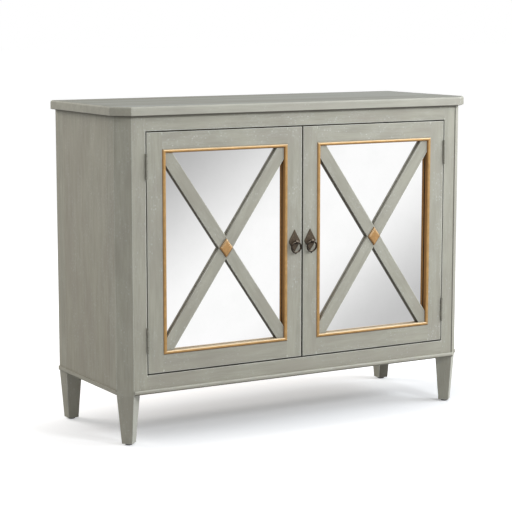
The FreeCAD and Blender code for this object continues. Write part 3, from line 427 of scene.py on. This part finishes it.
def chalk_paint(name, tone, grain, scuffing, shape, foot_shade=0.08):
    """Chalk paint with brush streaks along the grain, pale flecks, and painted shade on the undersides.

    Scuffing is the strength of the flecks, and the last argument that of a painted shade that darkens it
    towards the floor, which a slab doesn't have. Every shape but a plain one has rubbed arrises with a
    painted highlight, which a door and the frame have along their open edges only, and a bar where no other
    bar crosses it."""
    g = new_material(name)
    here = g.board_place()
    bristles = g.streaks(here, grain, *BRISTLES)
    dabs = g.streaks(here, grain, *DABS)
    strokes = g.streaks(here, grain, *STROKES)
    base = brushed(g, here, grain, tone, strokes, bristles)
    base = scuffed(g, here, grain, base, dabs, scuffing)
    if shape != "slab":
        # Painted shade, darker towards the floor.
        base = g.mix(g.ramp(g.coordinate("Z"), LEG_TOP, SLAB_FOOT, foot_shade, 0), base, FOOT_SHADE_TONE)

    soft = g.soft_normal(PAINT_ARRIS)
    # Rubbed paint and a painted highlight along the arrises.
    rubbed = g.times(g.ramp(g.turn_away(soft), *ARRIS_RAMP), g.ramp(strokes, *ARRIS_STROKE_RAMP))
    normal = soft
    if shape in ("door", "frame"):
        edge = open_edge(g)
        rubbed = g.times(rubbed, edge)
        normal = g.mix(edge, g.add("NewGeometry", {}, "Normal"), soft)
    if shape == "bar":
        rubbed = g.times(rubbed, off_crossing(g))
    if shape != "plain":
        base = g.mix(rubbed, base, WEAR_AND_HIGHLIGHT)
    if shape == "slab":
        base = slab_sheen_and_highlight(g, here, grain, tone, base)
    if shape in ("slab", "moulded"):
        base = rounding_wear_and_highlight(g, base, bristles)

    # Painted shade on the undersides.
    base = g.mix(g.ramp(g.facing("Z"), *UNDERSIDE_RAMP), base, PAINTED_SHADE)
    if shape == "bar":
        base = bar_shade(g, base)
    if shape == "door":
        base = door_shade(g, base)
    if shape in ("frame", "plain"):
        # A painted shadow under the top.
        base = g.mix(below_slab(g), base, PAINTED_SHADE)
    if shape == "frame":
        base = frame_shade_and_highlight(g, base)

    relief = g.math("ADD", g.times(bristles, BRISTLE_RELIEF), dabs)
    g.set(Base_Color=base, Roughness=g.ramp(bristles, *NOISE_SPAN, *PAINT_ROUGHNESS), Specular_IOR_Level=0.3,
          Normal=g.bump(relief, depth=0.3 * MM, strength=0.5, normal=normal))
    return g.owner


# Gilding

GOLD = (0.50, 0.295, 0.11)
DIAMOND_GOLD = (0.46, 0.26, 0.1)
GILT_SIDE = colour(0.36, 0.185, 0.058)
GILT_SHADE = colour(0.18, 0.085, 0.024)
GILT_CONTACT_SHADE = colour(0.012, 0.007, 0.003)
GILT_TOP_HIGHLIGHT = colour(0.52, 0.475, 0.355)
GILT_ARRIS_HIGHLIGHT = colour(0.74, 0.67, 0.48)

# Here and below: the size of each texture's spots, and their detail and roughness.
GOLD_LEAF = (14 * MM, 3, 0.6)
WORN_LEAF = (2.4 * MM, 3, 0.6)

LEAF_SHADES = (0.9, 1.1)
WORN_RAMP = (0.58, 0.76, 0, 0.35)
WORN_SHADE = 0.5
SIDE_FADE = 0.55
TOP_HIGHLIGHT_SPAN = (0.1, 0.6)
GILT_UNDERSIDE_RAMP = (-0.6, -0.1, 0.8, 0)
GILT_ARRIS_RAMP = (0.02, 0.06, 0, 0.3)
LOOKS_UP_SPAN = (-0.05, 0.15)
LINE_START_SPAN = (0.003, 0.012)
LINE_END_RAMP = (0.03, 0.08, 0.35, 0)
GILT_CORNER = 2.2 * MM
GILT_CORNER_SHADE = 0.7
GILT_CONTACT_REACH = 3.0 * MM
GILT_ROUGHNESS_RAMP = (-0.6, -0.2, 0.44, 0.85)


def gilding(name, tone, top_highlight, side_start, arris):
    """Antique gold leaf, browned down the sides partly as antique glaze and partly as painted shade. It has
    painted shade underneath, in corners and, nearly black, next to the mirror, a painted highlight on top,
    and a painted highlight along the arrises that look up.

    The argument after the tone is how far the painted highlight pales it on top, side_start where its sides
    start to brown as they turn from the front, and arris how far in its edges are softened."""
    g = new_material(name)
    here = g.board_place()
    leaf = g.noise(here, *GOLD_LEAF)
    worn = g.noise(here, *WORN_LEAF)
    upward = g.facing("Z")
    soft = g.soft_normal(arris)
    turn_away = g.turn_away(soft)
    looks_up = g.ramp(g.share(soft, "Z"), *LOOKS_UP_SPAN)
    on_line = g.times(g.ramp(turn_away, *LINE_START_SPAN), g.ramp(turn_away, *LINE_END_RAMP))
    dark, pale = [scaled(tone, shade) for shade in LEAF_SHADES]
    gold = g.mix(g.ramp(leaf, *NOISE_SPAN), dark, pale)
    gold = g.mix(g.ramp(worn, *WORN_RAMP), gold, scaled(tone, WORN_SHADE))
    # Browner down the sides, partly as antique glaze and partly as painted shade.
    gold = g.mix(g.ramp(g.facing("Y"), side_start, side_start + SIDE_FADE), gold, GILT_SIDE)
    # A painted highlight on top and painted shade underneath.
    gold = g.mix(g.ramp(upward, *TOP_HIGHLIGHT_SPAN, 0, top_highlight), gold, GILT_TOP_HIGHLIGHT)
    gold = g.mix(g.ramp(upward, *GILT_UNDERSIDE_RAMP), gold, GILT_SHADE)
    gold = g.mix(g.ramp(turn_away, *GILT_ARRIS_RAMP), gold, GILT_SIDE)
    # A painted highlight along the arrises that look up.
    gold = g.mix(g.times(looks_up, on_line), gold, GILT_ARRIS_HIGHLIGHT)
    # Painted shade in corners and, nearly black, next to the mirror.
    gold = g.mix(g.in_corner(GILT_CORNER, GILT_CORNER_SHADE), gold, GILT_SHADE)
    gold = g.mix(near_mirror(g, GILT_CONTACT_REACH), gold, GILT_CONTACT_SHADE)
    g.set(Base_Color=gold, Metallic=0.5, Roughness=g.ramp(g.facing("Y"), *GILT_ROUGHNESS_RAMP),
          Normal=g.bump(worn, depth=0.12 * MM, strength=0.35, normal=soft))
    return g.owner


# Glass

CLEAR_SILVER = colour(0.98, 0.98, 0.98)
SMEARED_SILVER = colour(0.955, 0.957, 0.955)
SMEARS = (60 * MM, 4, 0.6)
SMEAR_SPAN = (0.3, 0.75)
SMEAR_ROUGHNESS_RAMP = (0.4, 0.8, 0.012, 0.03)


def silvered_glass(name):
    """Mirror with faint smears that soften its shine."""
    g = new_material(name)
    smears = g.noise(g.place(), *SMEARS)
    g.set(Base_Color=g.mix(g.ramp(smears, *SMEAR_SPAN), CLEAR_SILVER, SMEARED_SILVER),
          Metallic=1.0, Roughness=g.ramp(smears, *SMEAR_ROUGHNESS_RAMP))
    return g.owner


# Metal

PLATE_DEEP = colour(0.078, 0.056, 0.036)
PLATE_PALE = colour(0.13, 0.097, 0.064)
RING_DEEP = colour(0.03, 0.022, 0.016)
RING_PALE = colour(0.1, 0.078, 0.06)
WORN_BRONZE = colour(0.26, 0.205, 0.145)
BRONZE_TOP_HIGHLIGHT = colour(0.4, 0.35, 0.28)
BRONZE_UNDERSIDE_SHADE = colour(0.01, 0.008, 0.005)
PATINA = (3.5 * MM, 4, 0.7)
GRIT = (0.9 * MM, 2)
PATINA_SPAN = (0.35, 0.7)
BRONZE_ARRIS = 1.0 * MM
BRONZE_ARRIS_RAMP = (0.02, 0.2, 0, 0.6)
BRONZE_TOP_RAMP = (0.3, 0.8, 0, 0.6)
BRONZE_UNDERSIDE_RAMP = (-0.6, -0.1, 0.85, 0)
ROUGHNESS_SWING = 0.08


def cast_bronze(name, deep, pale, metal, roughness):
    """Cast bronze with a dark patina, worn arrises, a painted highlight on top and painted shade underneath.
    """
    g = new_material(name)
    here = g.board_place()
    patina = g.noise(here, *PATINA)
    grit = g.noise(here, *GRIT)
    upward = g.facing("Z")
    turn_away = g.turn_away(g.soft_normal(BRONZE_ARRIS))
    base = g.mix(g.ramp(patina, *PATINA_SPAN), deep, pale)
    base = g.mix(g.ramp(turn_away, *BRONZE_ARRIS_RAMP), base, WORN_BRONZE)
    # A painted highlight on top and painted shade underneath.
    base = g.mix(g.ramp(upward, *BRONZE_TOP_RAMP), base, BRONZE_TOP_HIGHLIGHT)
    base = g.mix(g.ramp(upward, *BRONZE_UNDERSIDE_RAMP), base, BRONZE_UNDERSIDE_SHADE)
    dullest = roughness + ROUGHNESS_SWING
    glossiest = roughness - ROUGHNESS_SWING
    g.set(Base_Color=base, Metallic=metal, Roughness=g.ramp(patina, *NOISE_SPAN, dullest, glossiest),
          Normal=g.bump(grit, depth=0.12 * MM, strength=0.5))
    return g.owner


BARE_HINGE = colour(0.12, 0.105, 0.085)
CHIPS = (3 * MM, 4, 0.65)
HINGE_SHADES = (0.85, 0.7)
HINGE_SPAN = (0.3, 0.6)
CHIP_SPAN = (0.58, 0.66)
CHIP_METAL = 0.6
CHIP_ROUGHNESS_RAMP = (0.4, 0.7, 0.6, 0.4)


def worn_hinge(name):
    """Hinge metal painted over with the cabinet, rubbed to dark metal in spots."""
    g = new_material(name)
    chips = g.noise(g.board_place(), *CHIPS)
    pale, dark = [scaled(GREY, shade) for shade in HINGE_SHADES]
    base = g.mix(g.ramp(chips, *HINGE_SPAN), pale, dark)
    base = g.mix(g.ramp(chips, *CHIP_SPAN), base, BARE_HINGE)
    g.set(Base_Color=base, Metallic=g.ramp(chips, *CHIP_SPAN, 0, CHIP_METAL),
          Roughness=g.ramp(chips, *CHIP_ROUGHNESS_RAMP),
          Normal=g.bump(chips, depth=0.1 * MM, strength=0.4))
    return g.owner


DULL_ZINC = colour(0.42, 0.42, 0.40)
BRIGHT_ZINC = colour(0.62, 0.62, 0.60)
SPANGLE = (1.8 * MM, 3, 0.6)
ZINC_ROUGHNESS = (0.42, 0.28)


def plated_steel(name):
    """Zinc-plated steel with a mottled shine."""
    g = new_material(name)
    spangle = g.noise(g.board_place(), *SPANGLE)
    g.set(Base_Color=g.mix(g.ramp(spangle, *NOISE_SPAN), DULL_ZINC, BRIGHT_ZINC),
          Metallic=1.0, Roughness=g.ramp(spangle, *NOISE_SPAN, *ZINC_ROUGHNESS),
          Normal=g.bump(spangle, depth=0.05 * MM, strength=0.3))
    return g.owner


# Plastic

BLACK_PLASTIC = (0.03, 0.03, 0.03)
CREAM_PLASTIC = (0.42, 0.38, 0.30)
MOULD_GRAIN = (0.7 * MM, 2)
MOULD_CLOUDS = (12 * MM, 2)
PLASTIC_SHADES = (0.85, 1.15)
PLASTIC_ROUGHNESS = (0.6, 0.45)


def moulded_plastic(name, tone):
    """Plastic with a fine moulded grain."""
    g = new_material(name)
    here = g.place()
    grain = g.noise(here, *MOULD_GRAIN)
    dark, pale = [scaled(tone, shade) for shade in PLASTIC_SHADES]
    g.set(Base_Color=g.mix(g.noise(here, *MOULD_CLOUDS), dark, pale),
          Roughness=g.ramp(grain, *NOISE_SPAN, *PLASTIC_ROUGHNESS),
          Normal=g.bump(grain, depth=0.08 * MM, strength=0.4))
    return g.owner


# Bare wood

PALE_PINE = (0.46, 0.32, 0.18)
DARK_PINE = (0.36, 0.23, 0.12)
PALE_BOARD = (0.33, 0.22, 0.13)
DARK_BOARD = (0.26, 0.165, 0.09)

# The size of each texture's spots, their stretch along the grain, and their detail and roughness.
GROWTH = (16 * MM, 14, 3, 0.6)
PORES = (1.6 * MM, 25, 3, 0.6)

GROWTH_LINES = 9.0
LINE_SPAN = (0.1, 0.9)
PORE_RAMP = (0.55, 0.75, 0, 0.5)
PORE_SHADE = 0.6
WOOD_ROUGHNESS = (0.6, 0.75)


def bare_wood(name, grain, pale, dark):
    """Unpainted wood with growth lines along the grain."""
    g = new_material(name)
    here = g.board_place()
    growth = g.streaks(here, grain, *GROWTH)
    pores = g.streaks(here, grain, *PORES)
    lines = g.math("FRACT", g.times(growth, GROWTH_LINES))
    base = g.mix(g.ramp(lines, *LINE_SPAN), colour(*pale), colour(*dark))
    base = g.mix(g.ramp(pores, *PORE_RAMP), base, scaled(dark, PORE_SHADE))
    g.set(Base_Color=base, Roughness=g.ramp(pores, *NOISE_SPAN, *WOOD_ROUGHNESS),
          Normal=g.bump(pores, depth=0.2 * MM, strength=0.4))
    return g.owner


# The finish of each piece

stile_paint = chalk_paint("stile_paint", GREY, UPRIGHT, scuffing=0.9, shape="door")
door_rail_paint = chalk_paint("door_rail_paint", GREY, CROSSWISE, scuffing=1.1, shape="door")
low_rail_paint = chalk_paint("low_rail_paint", GREY, CROSSWISE, scuffing=0.5, shape="door")
frame_rail_paint = chalk_paint("frame_rail_paint", GREY, CROSSWISE, scuffing=0.9, shape="frame")
sill_paint = chalk_paint("sill_paint", GREY, CROSSWISE, scuffing=0.5, shape="frame")
post_paint = chalk_paint("post_paint", GREY, UPRIGHT, scuffing=0.55, shape="frame")
# A paler tone and a stronger painted shade make the side lighter at the top and darker at the foot.
side_paint = chalk_paint("side_paint", SIDE_GREY, UPRIGHT, scuffing=0.65, shape="plain", foot_shade=0.25)
side_bead_paint = chalk_paint("side_bead_paint", GREY, DEEPWISE, scuffing=0.35, shape="plain")
front_bead_paint = chalk_paint("front_bead_paint", GREY, CROSSWISE, scuffing=0.6, shape="moulded")
top_paint = chalk_paint("top_paint", GREY, CROSSWISE, scuffing=0.35, shape="slab")
climbing_right_paint = chalk_paint("climbing_right_paint", GREY, CLIMBING_RIGHT, scuffing=0.75, shape="bar")
climbing_left_paint = chalk_paint("climbing_left_paint", GREY, CLIMBING_LEFT, scuffing=0.75, shape="bar")
inner_paint = chalk_paint("inner_paint", INNER_GREY, CROSSWISE, scuffing=0.3, shape="plain")
gilt = gilding("antique_gilt", GOLD, top_highlight=0.65, side_start=-0.85, arris=1.2 * MM)
diamond_gilt = gilding("diamond_gilt", DIAMOND_GOLD, top_highlight=0.1, side_start=-0.98, arris=4 * MM)
mirror = silvered_glass("silvered_glass")
plate_bronze = cast_bronze("plate_bronze", PLATE_DEEP, PLATE_PALE, metal=0.5, roughness=0.45)
ring_bronze = cast_bronze("ring_bronze", RING_DEEP, RING_PALE, metal=0.9, roughness=0.26)
hinge_metal = worn_hinge("hinge_metal")
steel = plated_steel("plated_steel")
glide_plastic = moulded_plastic("glide_plastic", BLACK_PLASTIC)
catch_plastic = moulded_plastic("catch_plastic", CREAM_PLASTIC)
rail_wood = bare_wood("rail_wood", CROSSWISE, PALE_PINE, DARK_PINE)
cleat_wood = bare_wood("cleat_wood", DEEPWISE, PALE_PINE, DARK_PINE)
board_wood = bare_wood("board_wood", UPRIGHT, PALE_BOARD, DARK_BOARD)

# The first word that a node's name holds settles its finish.
FINISHES = [
    ("gilt_bead", gilt),
    ("diamond", diamond_gilt),
    ("mirror", mirror),
    ("pull_plate", plate_bronze),
    ("pull_", ring_bronze),
    ("screws", steel),
    ("shelf_pins", steel),
    ("strike_plate", steel),
    ("board_clips", steel),
    ("leaves", hinge_metal),
    ("hinge_pins", hinge_metal),
    ("floor_glides", glide_plastic),
    ("magnet_catches", catch_plastic),
    ("back_panel", board_wood),
    ("back_board", board_wood),
    ("rear_top_rail", rail_wood),
    ("rear_bottom_rail", rail_wood),
    ("top_cleats", cleat_wood),
    ("adjustable_shelf", inner_paint),
    ("bottom_panel", inner_paint),
    ("left_door_rising_bar", climbing_right_paint),
    ("left_door_falling_bar", climbing_left_paint),
    ("right_door_rising_bar", climbing_left_paint),
    ("right_door_falling_bar", climbing_right_paint),
    ("top_panel", top_paint),
    ("post", post_paint),
    ("side_panel", side_paint),
    ("front_base_bead", front_bead_paint),
    ("base_bead", side_bead_paint),
    ("front_top_rail", frame_rail_paint),
    ("front_bottom_rail", sill_paint),
    ("bottom_rail", low_rail_paint),
    ("rail", door_rail_paint),
    ("stile", stile_paint),
]


def dress_nodes():
    for name, node in nodes.items():
        material = next(finish for word, finish in FINISHES if word in name)
        node.data.materials.clear()
        node.data.materials.append(material)


# Floor

WHITE = colour(1, 1, 1)
FLOOR_SIZE = 80.0
FLOOR_TONE = colour(0.785, 0.8, 0.825)
# The glow grows with the distance from this middle: painted shade that darkens the floor near the cabinet.
LIFT_MIDDLE = (0.16, -0.02, 0.0)
LIFT_SPREAD = (0.3, 1.0, 1.0)
LIFT_RAMP = (0.12, 0.4, 0.28, 0.62)


def floor():
    """A pale floor that keeps the shadow, with a glow that only camera rays see, so that it is white where
    nothing shades it. The glow is weaker near the cabinet, a painted shade that deepens the shadow there.
    """
    half = FLOOR_SIZE / 2
    corners = [(-half, -half, 0), (half, -half, 0), (half, half, 0), (-half, half, 0)]
    mesh = bpy.data.meshes.new("floor")
    mesh.from_pydata(corners, [], [(0, 1, 2, 3)])
    sheet = bpy.data.objects.new("floor", mesh)
    bpy.context.scene.collection.objects.link(sheet)
    g = new_material("floor")
    offset = g.vector("MULTIPLY", g.vector("SUBTRACT", g.place(), LIFT_MIDDLE), LIFT_SPREAD)
    away = g.vector("LENGTH", offset, (0, 0, 0), "Value")
    seen = g.add("LightPath", {}, "Is Camera Ray")
    g.set(Base_Color=FLOOR_TONE, Roughness=1.0, Specular_IOR_Level=0.0,
          Emission_Color=WHITE, Emission_Strength=g.times(seen, g.ramp(away, *LIFT_RAMP)))
    mesh.materials.append(g.owner)
    sheet.visible_glossy = False


# Studio

WORLD_LIGHT = 0.5
WORLD_TINT = colour(1.0, 0.985, 0.955)
BAND_AXIS = (0.864, 0.504, -1.1)
BAND_RISE_RAMP = (0.03, 0.15, 0.45, 1.0)
BAND_FALL_RAMP = (0.19, 0.285, 1.0, 0.55)
SECOND_BAND_RAMP = (-0.68, -0.42, 1.0, 0)
DIMMING_RAMP = (-0.02, 0.12, 1.0, 0.35)
CEILING_RAMP = (0.25, 0.8, 0, 1.2)
FLOOR_GLOW_RAMP = (-0.55, -0.3, 0.85, 0)
SOFTBOX_AIM = (0.45, -0.6, 0.66)
SOFTBOX_RAMP = (0.86, 0.94, 0, 1.5)


def studio_world():
    """White behind the object and even light on it.

    All that shines shows two white bands between greys, which dim above eye level, a bright ceiling, a pale
    floor and a softbox."""
    world = bpy.data.worlds.new("studio")
    bpy.context.scene.world = world
    g = Graph(world, "Background")
    seen = g.add("LightPath", {}, "Is Camera Ray")
    shining = g.add("LightPath", {}, "Is Glossy Ray")
    direction = g.place("Generated")
    height = g.share(direction, "Z")
    across = g.vector("DOT_PRODUCT", direction, BAND_AXIS, "Value")
    toward_box = g.vector("DOT_PRODUCT", direction, SOFTBOX_AIM, "Value")
    first_band = g.smaller(g.ramp(across, *BAND_RISE_RAMP), g.ramp(across, *BAND_FALL_RAMP))
    bands = g.larger(first_band, g.ramp(across, *SECOND_BAND_RAMP))
    shine = g.times(bands, g.ramp(height, *DIMMING_RAMP))
    shine = g.larger(shine, g.ramp(height, *CEILING_RAMP))
    shine = g.larger(shine, g.ramp(height, *FLOOR_GLOW_RAMP))
    shine = g.math("ADD", shine, g.ramp(toward_box, *SOFTBOX_RAMP))
    g.set(Color=g.mix(g.larger(seen, shining), WORLD_TINT, WHITE),
          Strength=g.blend(seen, g.blend(shining, WORLD_LIGHT, shine), 1.0))


def soft_lamp(name, at, aim, size, power, tint, glossy=True):
    data = bpy.data.lights.new(name, "AREA")
    data.shape = "RECTANGLE"
    data.size, data.size_y = size
    data.energy = power
    data.color = tint
    lamp = bpy.data.objects.new(name, data)
    bpy.context.scene.collection.objects.link(lamp)
    lamp.location = at
    lamp.rotation_mode = "QUATERNION"
    lamp.rotation_quaternion = (Vector(aim) - Vector(at)).to_track_quat("-Z", "Y")
    lamp.visible_camera = False
    lamp.visible_glossy = glossy


def studio_lamps():
    soft_lamp("key", at=(0.75, -2.7, 1.95), aim=(0.0, -0.17, 0.45), size=(0.5, 0.5), power=28,
              tint=(0.985, 1.0, 1.015))
    soft_lamp("right_fill", at=(2.1, -1.25, 1.5), aim=(0.3, -0.1, 0.6), size=(1.6, 1.2), power=40,
              tint=(0.97, 1.0, 1.035))
    soft_lamp("back_glow", at=(-1.6, 2.4, 2.1), aim=(-0.3, 0.1, 0.4), size=(1.6, 0.8), power=46,
              tint=(1.0, 0.95, 0.9), glossy=False)


# Camera

CAMERA_AZIMUTH = math.radians(-30.251)
CAMERA_ELEVATION = math.radians(8.198)
CAMERA_DISTANCE = 4.300
CAMERA_LENS = 118.40
CAMERA_SENSOR = 36.0
TARGET_X = -0.02598
TARGET_Z = 0.40282


def camera():
    data = bpy.data.cameras.new("camera")
    data.lens = CAMERA_LENS
    data.sensor_width = CAMERA_SENSOR
    eye = bpy.data.objects.new("camera", data)
    bpy.context.scene.collection.objects.link(eye)
    carcass_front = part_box("front_top_rail")[0].y
    carcass_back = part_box("back_panel")[1].y
    target = Vector((TARGET_X, (carcass_front + carcass_back) / 2, TARGET_Z))
    back = Vector((math.sin(CAMERA_AZIMUTH) * math.cos(CAMERA_ELEVATION),
                   -math.cos(CAMERA_AZIMUTH) * math.cos(CAMERA_ELEVATION), math.sin(CAMERA_ELEVATION)))
    eye.location = target + back * CAMERA_DISTANCE
    eye.rotation_mode = "QUATERNION"
    eye.rotation_quaternion = (-back).to_track_quat("-Z", "Y")
    bpy.context.scene.camera = eye


dress_nodes()
floor()
studio_world()
studio_lamps()
camera()
bpy.context.scene.view_settings.view_transform = "Standard"
